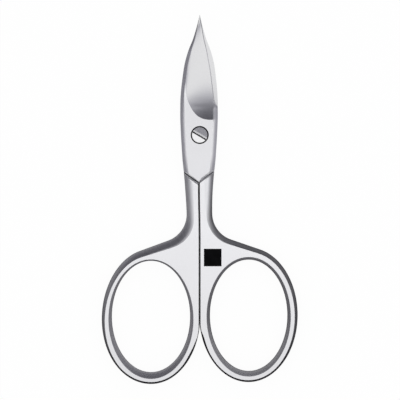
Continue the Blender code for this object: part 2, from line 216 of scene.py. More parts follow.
# Painted shade near the V: what it takes from the ground face's mark, and what it adds to the
# narrow mark
vee_shade_shares = (0.75, 0.22)
fillet_soft_shares = (0.3, 0.8)
loop_narrow_share = 0.3
last_shank_share = 0.992
inner_flat_shares = (0.12, 0.8)
soft_blend_shares = (0.45, 1.65)
sink_start_share = 0.17
sink_start_power = 3
sink_power = 1.5
runout_powers = (3.0, 0.5)
runout_reach_share = 0.985
upper_profile_power = 0.42
shank_flare_power = 1.7

# Steps of the surfaces
BOW_STEPS = 200
LOOP_STEPS = 240
FILLET_STEPS = 36
SHOULDER_STEPS = 16
SHANK_STEPS = 24
INNER_STEPS = 8
ROUND_STEPS = 96
HEAD_RINGS = 10
CONTACT_STEPS = 12
PLATE_STATIONS = 16
BLADE_STATIONS = 70
FACE_COLUMNS = 26
BEVEL_COLUMNS = 7

# Heights that follow from the sizes above
BACK_PLATE_TOP = BACK_STEP + PLATE_THICKNESS
FRONT_PLATE_BOTTOM = BACK_PLATE_TOP + LAP_GAP
FRONT_PLATE_TOP = FRONT_PLATE_BOTTOM + PLATE_THICKNESS
VEE_SLOPE = VEE_RISE / VEE_HALF_WIDTH
FULL_SINK = PLATE_THICKNESS - EDGE_THICKNESS
TIP_LIFT = FRONT_HIGH.z - BOX_MARGIN - FRONT_PLATE_BOTTOM - TIP_THICKNESS
CURVE_RADIUS = ((BLADE_LENGTH - CURVE_START) ** 2 + TIP_LIFT ** 2) / (2 * TIP_LIFT)

# Order of the finishes in the material slots of a half and of the screw
# BORE is near-black steel: painted shade on the walls of holes and recesses and in the gaps
# between the halves
FACE, GRIP, BEVEL, RIM, HOLLOW, LAP, BORE = range(7)
TURNED_HEAD, TURNED_SHANK, SLOT_WALL, SLOT_SHADOW = range(4)

# UV map that carries the shares of the finishes
MARKS = "finish_shares"

# Kinds of sockets in the node groups
VECTOR = "NodeSocketVector"
NUMBER = "NodeSocketFloat"

# Grain: numbers of lines and of clouds in a length, along X, Y and Z
ALONG_BLADE = (7.0 / MM, 0.5 / MM, 7.0 / MM)
EVEN_GRAIN = (6.0 / MM,) * 3
TURNED_GRAIN = (2.6 / MM,) * 3
ENAMEL_GRAIN = (4.0 / MM,) * 3
STEEL_CLOUDS = 0.09 / MM
ENAMEL_CLOUDS = 0.6 / MM
# The same round a bow, where the bow's half axes count as 1
ROUND_GRAIN = (1.6, 1.6, 1.0)
ROUND_CLOUDS = 4.0
LINES_ACROSS_RIM = 38.0

# Noises of the grain, and the ranges of their values that roughness and colour use
LINE_DETAIL = 3.0
LINE_ROUGHNESS = 0.6
CLOUD_DETAIL = 2.0
LINE_LOW = 0.3
LINE_HIGH = 0.7
TONE_LOW = 0.65
TONE_HIGH = 1.35
RELIEF = 0.004 * MM
RELIEF_STRENGTH = 0.15

# Finishes of the steel; the grip's colour darkens from its top to its bottom, a painted shade
FACE_LEVEL = 0.845
GRIP_LEVEL = 0.92
GRIP_TOP = -5.0 * MM
GRIP_BOTTOM = -45.0 * MM
steel_tint = (1.0, 1.0, 1.015)
rim_tint = (1.0, 0.988, 1.06)
HALF_FINISHES = {
    "satin_face": {"level": FACE_LEVEL, "roughness": 0.32},
    "satin_grip": {"level": GRIP_LEVEL, "roughness": 0.32, "end_level": 0.79},
    "ground_bevel": {
        "level": 0.42, "roughness": 0.34, "variation": 0.06, "tint": rim_tint,
        "face_level": FACE_LEVEL, "narrow_level": 0.12,
    },
    # Blasted rim whose colour is kept dark as painted shade, darker still where a rim is narrow
    # and steep; its low edge_tint takes away its grazing reflection
    "blasted_rim": {
        "roughness": 0.45, "stretch": ROUND_GRAIN, "variation": 0.12, "clouds": ROUND_CLOUDS,
        "tint": rim_tint, "edge_tint": 0.1, "face_level": GRIP_LEVEL, "narrow_level": 0.06,
    },
    "hollow_grind": {"level": 0.66, "roughness": 0.17},
    "lap_grind": {"level": 0.66, "roughness": 0.26},
    # Painted shade: near-black steel for holes, recesses and the gaps between the halves
    "dull_bore": {
        "level": 0.02, "roughness": 0.6, "stretch": EVEN_GRAIN, "variation": 0.06,
        "edge_tint": 0.0,
    },
}
SCREW_FINISHES = {
    "turned_head": {"level": 0.78, "roughness": 0.22, "variation": 0.1, "rougher": 0.1},
    "turned_shank": {"level": 0.5, "roughness": 0.35, "variation": 0.06},
    "slot_wall": {"level": 0.62, "roughness": 0.3, "variation": 0.1},
    "slot_shadow": {"level": 0.03, "roughness": 0.6, "variation": 0.06, "edge_tint": 0.0},
}

# Enamel
ENAMEL_SPECULAR = 0.02
enamel_colours = ((0.001, 0.001, 0.0012), (0.004, 0.004, 0.0045))
enamel_roughness = (0.3, 0.42)

# Floor; its reach is in metres
FLOOR_REACH = 3.0
FLOOR_SINK = 0.02 * MM
floor_wash_share = 0.95
floor_colour = (0.86, 0.86, 0.86, 1.0)
white = (1.0, 1.0, 1.0, 1.0)

# Studio: levels of its light, and the directions in which they change
ZENITH_LEVEL = 1.12
CORNER_LEVEL = 0.13
WALL_LEVEL = 0.43
wall_change = (0.15, -0.08, 0.0)
wall_end_shares = (0.1, 0.65)
dark_direction = (-0.15, 1.0, 0.0)
dark_share = 0.395
dark_tint = (0.97, 0.965, 1.1)

# Lamp and camera; the lamp's size and both places are in metres
LAMP_SIZE = 0.8
LAMP_POWER = 0.6
LAMP_PLACE = (-0.15, -0.3, 0.9)
LAMP_TURN = (math.radians(-18), math.radians(-9), 0.0)
CAMERA_PLACE = (0.07 * MM, -0.06 * MM, 1.5)
FOCUS_HEIGHT = 2.0 * MM
PIXEL = 0.2442 * MM
PICTURE_WIDTH = 400
SENSOR_WIDTH = 36.0


def smooth(table, positions):
    """Monotone cubic through a table's rows, read at an array of positions.

    Between two rows it is the cubic whose end slopes are the harmonic means of the slopes on
    either side, or zero where these differ in sign.
    """
    places, values = np.array(table).T
    widths = np.diff(places)
    slopes = np.diff(values) / widths
    tangents = np.zeros(len(values))
    product = slopes[:-1] * slopes[1:]
    total = np.where(product > 0, slopes[:-1] + slopes[1:], 1.0)
    tangents[1:-1] = np.where(product > 0, 2 * product / total, 0.0)
    tangents[0] = slopes[0]
    tangents[-1] = slopes[-1]
    positions = np.clip(positions, places[0], places[-1])
    row = np.clip(np.searchsorted(places, positions, side="right") - 1, 0, len(widths) - 1)
    t = (positions - places[row]) / widths[row]
    rise_out = widths[row] * tangents[row]
    rise_in = widths[row] * tangents[row + 1]
    start, end = values[row], values[row + 1]
    turn = 2 * start - 2 * end + rise_out + rise_in
    lean = 3 * end - 3 * start - 2 * rise_out - rise_in
    return start + t * (rise_out + t * (lean + t * turn))


def ease(value, low, high):
    """0 below low, 1 above high, and the cubic 3t^2 - 2t^3 between them."""
    t = np.clip((value - low) / (high - low), 0, 1)
    return t * t * (3 - 2 * t)


def spine(y):
    """Half width from the centre line to the spine."""
    return np.maximum(BLADE_HALF_WIDTH * smooth(spine_shares, y / BLADE_LENGTH), TIP_WIDTH / 2)


def edge(y):
    """Distance from the centre line to the edge opposite the spine."""
    return spine(y) * smooth(edge_shares, y / BLADE_LENGTH)


def blade_lift(y):
    """Height of the blades' curve: an arc of CURVE_RADIUS that starts above the pivot."""
    run = np.maximum(y - CURVE_START, 0)
    return CURVE_RADIUS - np.sqrt(CURVE_RADIUS ** 2 - run ** 2)


def vee(x):
    """Line where the lap ends: a V with its point down, on the centre line."""
    return -VEE_APEX + VEE_SLOPE * np.abs(x)


def lean(y):
    """Sideways offset of the lap and the shanks, which fades towards the tips and the bows."""
    return -LEAN * ease(y, LEAN_LOW, LEAN_FULL) * (1 - ease(y, LEAN_TOP, BLADE_LENGTH))


def sink(y):
    """Depth of the hollow at the cutting edge, below the plate's face.

    It is the sum of two curves 1 - (1 - t)^a: a short cubic where the hollow leaves the
    face, and one that is spread over SINK_LENGTH.
    """
    start = np.clip((y - RUNOUT_HEIGHT) / SINK_START_LENGTH, 0, 1)
    whole = np.clip((y - RUNOUT_HEIGHT) / SINK_LENGTH, 0, 1)
    depth = sink_start_share * (1 - (1 - start) ** sink_start_power)
    depth = depth + (1 - sink_start_share) * (1 - (1 - whole) ** sink_power)
    return FULL_SINK * depth


def runout(on_face):
    """Lower border of the hollow on the plate's face: close to a quarter of an ellipse.

    It rises from the edge to the spine by the share 1 - (1 - u^a)^b, where u is the place
    across the face, from 0 at the edge to a little less than 1 at the spine.
    """
    low, high = runout_powers
    place = runout_reach_share * (1 - on_face)
    return RUNOUT_HEIGHT + RUNOUT_RISE * (1 - (1 - place ** low) ** high)


RUNOUT_TOP = runout(0.0)


def face_height(on_face, y):
    """Thickness under the face: the flat plate, cut by the hollow where that lies lower.

    At the cutting edge the hollow sinks below the plate with sink(y). From there it climbs to
    the spine with one profile, that brings it out of the plate along the run-out. Above the
    run-out a power flattens the profile, and the spine thins in a straight line to the tip.
    """
    left = np.clip((BLADE_LENGTH - y) / (BLADE_LENGTH - RUNOUT_TOP), 0, 1)
    spine_height = TIP_THICKNESS + (PLATE_THICKNESS - TIP_THICKNESS) * left
    edge_height = PLATE_THICKNESS - sink(y)
    climb = spine_height - PLATE_THICKNESS + sink(np.maximum(y, RUNOUT_TOP))
    profile = sink(runout(on_face)) / sink(RUNOUT_TOP)
    power = 1 + (upper_profile_power - 1) * ease(y, RUNOUT_TOP, EVEN_HEIGHT)
    hollow = edge_height + climb * profile ** power
    return np.minimum(hollow, PLATE_THICKNESS)


def rounded_ramp(t, straight):
    """From 0 to 1: a straight rise over the share called straight, then a parabola to level."""
    slope = 2 / (1 + straight)
    beyond = np.maximum(t - straight, 0)
    return slope * t - slope * beyond ** 2 / (2 * (1 - straight))


def grid_quads(rows, columns, wrapped, first=0):
    """Corner numbers of the quads of a grid whose columns may close into a ring."""
    numbers = first + np.arange(rows * columns).reshape(rows, columns)
    right = np.roll(numbers, -1, axis=1)
    if not wrapped:
        numbers = numbers[:, :-1]
        right = right[:, :-1]
    corners = (numbers[:-1], right[:-1], right[1:], numbers[1:])
    return np.stack(corners, axis=-1).reshape(-1, 4)


def values_of(items, name, kind=np.int32):
    """Array with one property of a mesh's faces, corners or edges."""
    values = np.empty(len(items), dtype=kind)
    items.foreach_get(name, values)
    return values


def shade(mesh):
    """Smooth shading, sharp along steep edges and round each flat face."""
    mesh.shade_smooth()
    mesh.set_sharp_from_angle(angle=SHARP_ANGLE)
    slots = values_of(mesh.polygons, "material_index")
    slots = np.repeat(slots, values_of(mesh.polygons, "loop_total"))
    edges = values_of(mesh.loops, "edge_index")
    low = np.full(len(mesh.edges), BORE)
    high = np.zeros(len(mesh.edges), dtype=int)
    np.minimum.at(low, edges, slots)
    np.maximum.at(high, edges, slots)
    border = (low <= GRIP) & (high > GRIP)
    sharp = values_of(mesh.edges, "use_edge_sharp", bool)
    mesh.edges.foreach_set("use_edge_sharp", sharp | border)


def add_object(name, data):
    """New object in the scene, at the origin."""
    item = bpy.data.objects.new(name, data)
    bpy.context.collection.objects.link(item)
    return item


def new_object(name, bm, materials):
    """Object at the origin from a bmesh, with its doubles merged and its faces outwards."""
    bmesh.ops.remove_doubles(bm, verts=bm.verts, dist=MERGE)
    bmesh.ops.recalc_face_normals(bm, faces=bm.faces)
    mesh = bpy.data.meshes.new(name)
    bm.to_mesh(mesh)
    bm.free()
    for material in materials:
        mesh.materials.append(material)
    shade(mesh)
    return add_object(name, mesh)


def grid_bmesh(points, quads, slots, marks=None):
    """Bmesh from an array of points, an array of quads and a material number for each.

    marks holds two shares for each point, which go into the UV map that the finishes read:
    the share of the ground face's finish, and the share of painted shade on a narrow, steep rim or
    bevel.
    """
    mesh = bpy.data.meshes.new("grid")
    mesh.vertices.add(len(points))
    mesh.vertices.foreach_set("co", points.astype(np.float32).ravel())
    mesh.loops.add(quads.size)
    mesh.loops.foreach_set("vertex_index", quads.astype(np.int32).ravel())
    mesh.polygons.add(len(quads))
    mesh.polygons.foreach_set("loop_start", np.arange(0, quads.size, 4, dtype=np.int32))
    mesh.polygons.foreach_set("material_index", slots.astype(np.int32))
    mesh.update(calc_edges=True)
    layer = mesh.uv_layers.new(name=MARKS)
    if marks is not None:
        layer.uv.foreach_set("vector", marks[quads.ravel()].astype(np.float32).ravel())
    bm = bmesh.new()
    bm.from_mesh(mesh)
    bpy.data.meshes.remove(mesh)
    return bm


def blade_and_plate(name, half, materials):
    """Skin of a lap plate and its blade.

    Rows run from the tuck below the V up to the tip, and bend to follow first the V and then
    the run-out. Columns run over the bevel of the spine, the face and the opposite bevel, and
    come back over the flat lap side. A bevel rises straight, then rounds into the face. The
    tuck lies lower, most at its two ends, and a painted shade darkens the bevels towards the V.
    """
    side = half["side"]
    face = np.linspace(0, 1, FACE_COLUMNS)
    rise = np.linspace(0, 1, BEVEL_COLUMNS, endpoint=False)
    on_face = np.concatenate((np.zeros(BEVEL_COLUMNS), face, np.ones(BEVEL_COLUMNS)))
    on_left = np.concatenate((rise, np.ones(FACE_COLUMNS + BEVEL_COLUMNS)))
    on_right = on_left[::-1]
    across = bevel_share * (on_left + 1 - on_right)
    across = across + on_face * (1 - 2 * bevel_share)

    v_line = vee((2 * across - 1) * VEE_HALF_WIDTH) + VEE_FACET * ease(across, *facet_shares)
    straight = np.full_like(across, -PLATE_STRAIGHT)
    border = runout(on_face)
    plate_rows = np.linspace(0, 1, PLATE_STATIONS)[:, None]
    blade_rows = np.linspace(0, 1, BLADE_STATIONS + 1)[1:, None]
    y = np.vstack((
        v_line - TUCK_LENGTH,
        v_line,
        straight + plate_rows * (border - straight),
        border + blade_rows * (BLADE_LENGTH - border),
    ))
    left = -spine(y)
    right = edge(y)
    width = right - left
    left_share = ease(y, RUNOUT_HEIGHT, RUNOUT_HEIGHT + SPINE_TAPER_RISE)
    right_share = ease(y, BEVEL_TAPER_START, BEVEL_TAPER_END)
    left_bevel = PLATE_BEVEL + left_share * (SPINE_BEVEL - PLATE_BEVEL)
    right_bevel = PLATE_BEVEL + right_share * (EDGE_LAND - PLATE_BEVEL)
    left_bevel = np.minimum(left_bevel, width * bevel_limit_share)
    right_bevel = np.minimum(right_bevel, width * bevel_limit_share)
    x = left + left_bevel * on_left + right_bevel * (1 - on_right)
    x = x + on_face * (width - left_bevel - right_bevel)
    height = face_height(np.broadcast_to(on_face, y.shape), y)
    straight = bevel_straight_share + left_share * (blade_straight_share - bevel_straight_share)
    climb = rounded_ramp(on_left, straight) + rounded_ramp(on_right, bevel_straight_share) - 1
    height = height * (side_height_share + (1 - side_height_share) * climb)
    x[0] *= half["tuck_share"]
    fall = tuck_fall_share * np.abs(2 * across - 1) ** tuck_fall_power
    height[0] *= tuck_height_share * (1 - fall)
    # Painted shade near the V: the bevels lose the ground face's share and gain the narrow share
    painted_vee_shade = ease(-y, VEE_SHADE_START, VEE_SHADE_END)
    ground = (np.minimum(on_left, on_right) ** ground_power) * (1 - left_share)
    ground = ground * (1 - vee_shade_shares[0] * painted_vee_shade)
    # Share of painted shade on the bevels: where they are narrow and steep near the tip, and near
    # the V
    narrow = np.maximum(1 - np.clip(left_bevel / FULL_BEVEL, 0, 1), vee_shade_shares[1] * painted_vee_shade)
    marks = np.stack((ground, narrow), axis=-1)
    marks = np.concatenate((marks, np.zeros_like(marks)), axis=1)

    lap_height = FRONT_PLATE_BOTTOM if side > 0 else BACK_PLATE_TOP
    lift = blade_lift(y)
    plan_x = side * x + lean(y)
    over = np.stack((plan_x, y + PIVOT_Y, lap_height + side * height + lift), axis=-1)
    under = np.stack((plan_x, y + PIVOT_Y, lap_height + lift), axis=-1)[:, ::-1]
    ring = np.concatenate((over, under), axis=1)
    rows, columns = ring.shape[:2]
    quads = grid_quads(rows, columns, wrapped=True)
    upper = columns // 2
    column = np.arange(columns)
    slots = np.full((rows - 1, columns), LAP)
    is_face = (column >= BEVEL_COLUMNS) & (column < BEVEL_COLUMNS + FACE_COLUMNS - 1)
    is_bevel = (column < upper) & ~is_face
    # The lap side under the tuck is near-black steel, a painted shade
    slots[0, column >= upper] = BORE
    slots[:, is_bevel] = BEVEL
    slots[:, is_face] = FACE
    slots[PLATE_STATIONS + 1:, is_face] = HOLLOW
    slots[0, is_face] = LAP
    i = np.arange(upper - 1)
    rungs = np.stack((i, i + 1, columns - 2 - i, columns - 1 - i), axis=-1)
    quads = np.concatenate((quads, rungs, rungs + (rows - 1) * columns))
    slots = np.concatenate((slots.ravel(), np.full(2 * len(rungs), BEVEL)))
    bm = grid_bmesh(ring.reshape(-1, 3), quads, slots, marks.reshape(-1, 2))
    return new_object(name, bm, materials)


def bow_outline(half, contour):
    """Outline of a shank and bow for one contour: its girth, its ground face or its back.

    It runs down the straight inner side, round the bow's quarter ellipses, along the shoulder
    line that touches the bow, round the fillet and up the flared shank to the V. The outer
    side sags by a share cos^2 of the angle, so that its widest place lies a little lower.
    """
    centre_y = -half["bow_reach"]
    inner_x = SHANK_GAP / 2 - half["side"] * GAP_SHIFT
    outer_rim = inner_rim = end_rim = shank_bevel = vee_bevel = 0.0
    vee_drop = half["vee_gap"]
    radius = half["shoulder_radius"]
    if contour == "face":
        centre_y -= half["face_drop"]
        inner_x += INNER_BEVEL
        outer_rim = BOW_RIM
        inner_rim = BOW_INNER_RIM
        end_rim = half["end_rim"]
        shank_bevel = half["shank_bevel"]
        vee_bevel = VEE_BEVEL
        vee_drop += half["vee_chamfer"]
        radius = half["face_shoulder_radius"]
    if contour == "back":
        inner_x += INNER_BEVEL
        outer_rim = end_rim = shank_bevel = vee_bevel = BACK_RIM
        inner_rim = BOW_INNER_RIM
        vee_drop += half["vee_chamfer"]
    half_height = half["bow_half_height"] - end_rim
    crown_height = half_height - half["crown_drop"]
    sag = half["sag"]
    outer_half_width = BOW_HALF_WIDTH - outer_rim
    inner_half_width = BOW_HALF_WIDTH - inner_rim
    shank_x = SHANK_HALF_WIDTH - shank_bevel
    vee_x = VEE_HALF_WIDTH - vee_bevel

    start_angle = math.pi + math.acos((BOW_OFFSET - inner_x) / inner_half_width)
    end_angle = 2 * math.pi + SHOULDER_ANGLE
    angle = np.linspace(start_angle, end_angle, BOW_STEPS + 1)
    reach = np.where(np.cos(angle) > 0, outer_half_width, inner_half_width)
    rise = np.where(angle > 2 * math.pi, crown_height, half_height)
    drop = np.where(np.cos(angle) > 0, sag * np.cos(angle) ** 2, 0)
    bow = np.stack((BOW_OFFSET + reach * np.cos(angle),
                    centre_y + rise * np.sin(angle) - drop), axis=-1)

    along = np.array((-outer_half_width * math.sin(end_angle),
                      (crown_height + 2 * sag * math.sin(end_angle)) * math.cos(end_angle)))
    along /= np.linalg.norm(along)
    to_shank = (shank_x - bow[-1, 0]) / along[0]
    corner = bow[-1] + along * to_shank
    turn = math.acos(along[1])
    radius = min(radius, to_shank / math.tan(turn / 2))
    centre = np.array((shank_x + radius, corner[1] + radius * math.tan(turn / 2)))
    angle = math.pi + turn * (1 - np.linspace(0, 1, FILLET_STEPS + 1))
    fillet = centre + radius * np.stack((np.cos(angle), np.sin(angle)), axis=-1)
    share = np.linspace(0, 1, SHOULDER_STEPS, endpoint=False)[1:, None]
    shoulder = bow[-1] + share * (fillet[0] - bow[-1])

    share = np.linspace(0, 1, SHANK_STEPS + 1)[1:]
    share[-2] = last_shank_share
    top = vee(vee_x) - vee_drop
    shank = np.stack((shank_x + (vee_x - shank_x) * share ** shank_flare_power,
                      fillet[-1, 1] + share * (top - fillet[-1, 1])), axis=-1)
    share = np.linspace(0, 1, INNER_STEPS, endpoint=False)
    inner_top = vee(inner_x) - vee_drop
    inner = np.stack((np.full(INNER_STEPS, inner_x),
                      inner_top + share * (bow[0, 1] - inner_top)), axis=-1)
    return np.concatenate((inner, bow, shoulder, fillet, shank))


def bow_softness(half):
    """0 round the bow and along the inner side, rising from the shoulder to the shank's end."""
    low, high = fillet_soft_shares
    shoulder = np.linspace(0, low, SHOULDER_STEPS - 1)
    fillet = np.linspace(low, high, FILLET_STEPS + 1)
    shank = np.linspace(high, half["shank_share"], SHANK_STEPS)
    return np.concatenate((np.zeros(INNER_STEPS + BOW_STEPS + 1), shoulder, fillet, shank))


def vee_end(columns):
    """1 at the two points that border the end at the V, and 0 along the rest of an outline."""
    column = np.arange(columns)
    return ((column == 0) | (column == columns - 1)).astype(float)


def loop_outline(half, contour):
    """Ellipse of the finger loop for one contour."""
    centre_y = -half["bow_reach"] - LOOP_DROP
    width_rim = end_rim = 0.0
    if contour == "face":
        centre_y -= half["face_drop"]
        width_rim = LOOP_RIM
        end_rim = LOOP_END_RIM
    if contour == "back":
        width_rim = end_rim = BACK_RIM
    angle = np.linspace(0, 2 * math.pi, LOOP_STEPS, endpoint=False)
    centre_x = BOW_OFFSET + half["loop_shift"]
    return np.stack((centre_x + (half["loop_half_width"] + width_rim) * np.cos(angle),
                     centre_y + (LOOP_HALF_HEIGHT + end_rim) * np.sin(angle)), axis=-1)


def least_rim(columns):
    """Least width of a bow's rim: none along the inner side, then rising from the contact."""
    return LEAST_RIM * ease(np.arange(columns), INNER_STEPS, INNER_STEPS + CONTACT_STEPS)


def rim_rings(half, outline, softness, ending, least):
    """Rings of one outline from the back's flat up to the face's flat, and their marks.

    A ring lies a share of the way from the girth to the back or face contour, at a share of
    the half thickness. Towards the face both shares go from the bow's rim to the shank's
    rounded side as the softness goes from 0 to 1, and to the end at the V with the ending.
    The mark of the ground finish grows with the softness beyond 1 too, up to the whole.
    """
    girth = outline(half, "girth")
    middle = HANDLE_THICKNESS / 2
    back_height, back_way = np.array(back_rim_shares).T
    crisp = np.array(bow_rim_shares)[:, None, :]
    soft = np.array(shank_rim_shares)[:, None, :]
    end = np.array(vee_rim_shares)[:, None, :]
    shares = crisp + np.minimum(softness, 1)[:, None] * (soft - crisp)
    shares = shares + ending[:, None] * (end - shares)
    height, way = shares[:, :, 0], shares[:, :, 1]
    inwards = outline(half, "face") - girth
    reach = np.linalg.norm(inwards, axis=-1)
    inwards = inwards * np.maximum(1, least / reach)[:, None]
    back = girth + back_way[:, None, None] * (outline(half, "back") - girth)
    face = girth + way[:, :, None] * inwards
    back_z = middle - middle * np.broadcast_to(back_height[:, None], back.shape[:2])
    plan = np.concatenate((back, face))
    z = np.concatenate((back_z, middle + middle * height))
    points = np.stack((half["side"] * plan[:, :, 0] + lean(plan[:, :, 1]),
                       plan[:, :, 1] + PIVOT_Y, z), axis=-1)

    low_way, high_way = soft_blend_shares
    ground = np.clip(softness * (way - low_way) / (high_way - low_way), 0, 1)
    ground = ground + ending * (half["vee_share"] * (way > 0) - ground)
    # Share of painted shade: a rim darkens the narrower, and so the steeper, it is
    narrow = np.clip((FULL_RIM - reach) / (FULL_RIM - LEAST_RIM), 0, 1)
    marks = np.zeros((*plan.shape[:2], 2))
    marks[len(back_way):, :, 0] = ground
    marks[:, :, 1] = narrow
    return points, marks


def shank_and_bow(name, half, materials):
    """Skin of a shank and bow: the rings of both outlines, then the two flats.

    The shank's inner side has the lap's finish between two bevels of near-black steel, a painted
    shade in the gap. The lower half of the loop's rim is painted lighter, towards the ground
    face's colour, with the sine of the angle: a painted light.
    """
    softness = bow_softness(half)
    columns = len(softness)
    rows, marks = rim_rings(half, bow_outline, softness, vee_end(columns), least_rim(columns))
    none = np.zeros(LOOP_STEPS)
    loop_rows, loop_marks = rim_rings(half, loop_outline, none, none, none)
    angle = np.linspace(0, 2 * math.pi, LOOP_STEPS, endpoint=False)
    upper = np.clip(2 * loop_rows[:, :, 2] / HANDLE_THICKNESS - 1, 0, 1)
    # Painted light: the loop's rim is made lighter on its upper half, most at the bottom of the
    # loop
    loop_marks[:, :, 0] = half["loop_share"] * np.maximum(-np.sin(angle), 0) * upper
    loop_marks[:, :, 1] *= loop_narrow_share
    quads = grid_quads(*rows.shape[:2], wrapped=True)
    loop_quads = grid_quads(*loop_rows.shape[:2], wrapped=True, first=rows[:, :, 0].size)
    slots = np.full((rows.shape[0] - 1, rows.shape[1]), RIM)
    # The shank's inner side is near-black steel, a painted shade in the gap, except for its flat
    # middle
    slots[:, :INNER_STEPS] = BORE
    low, high = (share * HANDLE_THICKNESS for share in inner_flat_shares)
    is_flat = (rows[:-1, :INNER_STEPS, 2] > low) & (rows[1:, :INNER_STEPS, 2] < high)
    slots[:, :INNER_STEPS][is_flat] = LAP
    slots = np.concatenate((slots.ravel(), np.full(len(loop_quads), RIM)))
    bm = grid_bmesh(np.concatenate((rows.reshape(-1, 3), loop_rows.reshape(-1, 3))),
                    np.concatenate((quads, loop_quads)), slots,
                    np.concatenate((marks.reshape(-1, 2), loop_marks.reshape(-1, 2))))
    for z in (0.0, HANDLE_THICKNESS):
        border = [e for e in bm.edges if e.is_boundary
                  and all(abs(v.co.z - z) < MERGE for v in e.verts)]
        filled = bmesh.ops.triangle_fill(bm, edges=border, use_beauty=True, normal=(0, 0, 1))
        for part in filled["geom"]:
            if isinstance(part, bmesh.types.BMFace):
                part.material_index = GRIP
    return new_object(name, bm, materials)


def extrusion(name, low, high, materials, slots):
    """Solid between two outlines with as many corners, and one finish number for each side.

    A side's number stands with the corner where the side ends, and the lids take the first.
    """
    bm = bmesh.new()
    low = [bm.verts.new(corner) for corner in low]
    high = [bm.verts.new(corner) for corner in high]
    bm.faces.new(low).material_index = slots[0]
    bm.faces.new(high).material_index = slots[0]
    for i, slot in enumerate(slots):
        bm.faces.new((low[i - 1], low[i], high[i], high[i - 1])).material_index = slot
    return new_object(name, bm, materials)


def prism(name, corners, bottom, top, materials, slots=None):
    """Upright prism over a plan outline in the pivot's frame, with sides in near-black painted
    shade by default.
    """
    low = [(x, y + PIVOT_Y, bottom) for x, y in corners]
    high = [(x, y + PIVOT_Y, top) for x, y in corners]
    return extrusion(name, low, high, materials, slots or [BORE] * len(corners))


def slot_cutter(materials):
    """Trough across the screw's head: a steep wall and narrow floor in shadow, and a slope."""
    floor = HEAD_TOP - SLOT_DEPTH
    rise = SLOT_DEPTH / (SLOT_HIGH_SIDE - SLOT_FLOOR_END)
    over = OVERRUN * (1 + rise)
    section = (
        (SLOT_LOW_SIDE, HEAD_TOP + over), (SLOT_LOW_SIDE, HEAD_TOP), (SLOT_FLOOR_START, floor),
        (SLOT_FLOOR_END, floor), (SLOT_HIGH_SIDE + OVERRUN / rise, HEAD_TOP + OVERRUN),
        (SLOT_HIGH_SIDE + OVERRUN / rise, HEAD_TOP + over),
    )
    ends = []
    for along in (-HEAD_RADIUS - OVERRUN, HEAD_RADIUS + OVERRUN):
        ends.append([(along * math.cos(SLOT_ANGLE) - across * math.sin(SLOT_ANGLE),
                      along * math.sin(SLOT_ANGLE) + across * math.cos(SLOT_ANGLE) + PIVOT_Y, z)
                     for across, z in section])
    slots = (SLOT_WALL, SLOT_WALL, SLOT_SHADOW, SLOT_SHADOW, SLOT_WALL, SLOT_WALL)
    return extrusion("slot_cutter", *ends, materials, slots)


def turned(name, radius, height, materials, slots, roof=0.0):
    """Solid of revolution about the pivot, with a lid at each end.

    radius and height are the profile's rows. The rows at the top height also fall away from
    the slot's line, by roof for each unit of distance from it.
    """
    angle = np.linspace(0, 2 * math.pi, ROUND_STEPS, endpoint=False)
    x = radius[:, None] * np.cos(angle)
    y = radius[:, None] * np.sin(angle)
    from_slot = np.abs(y * math.cos(SLOT_ANGLE) - x * math.sin(SLOT_ANGLE))
    is_top = (height >= height.max())[:, None]
    z = height[:, None] - is_top * roof * from_slot
    grid = np.stack((x, y + PIVOT_Y, z), axis=-1)
    quads = grid_quads(*grid.shape[:2], wrapped=True)
    bm = grid_bmesh(grid.reshape(-1, 3), quads, np.repeat(slots, ROUND_STEPS))
    bm.verts.ensure_lookup_table()
    last = len(bm.verts) - ROUND_STEPS
    for start, slot in ((0, slots[0]), (last, slots[-1])):
        lid = bm.faces.new([bm.verts[start + i] for i in range(ROUND_STEPS)])
        lid.material_index = slot
    return new_object(name, bm, materials)


def square(size, centre):
    """Plan corners of a square."""
    return [(centre[0] + across * size / 2, centre[1] + along * size / 2)
            for across, along in ((-1, -1), (1, -1), (1, 1), (-1, 1))]


def carve(item, steps):
    """Apply exact Booleans to an object, in order, and remove the shapes that they use."""
    for other, operation in steps:
        modifier = item.modifiers.new(other.name, "BOOLEAN")
        modifier.object = other
        modifier.operation = operation
        modifier.solver = "EXACT"
    bpy.context.view_layer.update()
    evaluated = item.evaluated_get(bpy.context.evaluated_depsgraph_get())
    mesh = bpy.data.meshes.new_from_object(evaluated)
    item.modifiers.clear()
    item.data = mesh
    shade(mesh)
    for other, _ in steps:
        bpy.data.objects.remove(other, do_unlink=True)


def vee_cutter(half, materials):
    """Cutter that ends a lap plate along the V, over the other half's shank.

    The wall that it leaves along the centre line is near-black, a painted shade between the
    halves, and the others are ground.
    """
    side = -half["side"]
    outer = VEE_HALF_WIDTH + OVERRUN
    bottom = -VEE_APEX - TUCK_LENGTH - OVERRUN
    middle = -LEAN
    inner = middle - GAP_SHIFT - side * half["vee_inset"]
    corners = [
        (inner, bottom), (middle + side * outer, bottom),
        (middle + side * outer, vee(outer) - half["cut_drop"]),
        (middle, vee(0) - half["cut_drop"]), (inner, vee(0) - half["cut_drop"]),
    ]
    slots = (BORE, LAP, LAP, LAP, LAP)
    return prism("vee_cutter", corners, -OVERRUN, FRONT_PLATE_TOP + OVERRUN, materials, slots)


def node(tree, kind, settings=None, **inputs):
    """Add a node, set its properties, and set or link its inputs by name or as i0, i1, i2."""
    item = tree.nodes.new(kind)
    for key, value in (settings or {}).items():
        setattr(item, key, value)
    for key, value in inputs.items():
        numbered = key[0] == "i" and key[1:].isdigit()
        socket = item.inputs[int(key[1:]) if numbered else key.replace("_", " ")]
        if isinstance(value, bpy.types.NodeSocket):
            tree.links.new(value, socket)
        else:
            socket.default_value = value
    return item


def number_math(tree, operation, first, second):
    """Result of an operation on two numbers."""
    return node(tree, "ShaderNodeMath", {"operation": operation}, i0=first, i1=second).outputs[0]


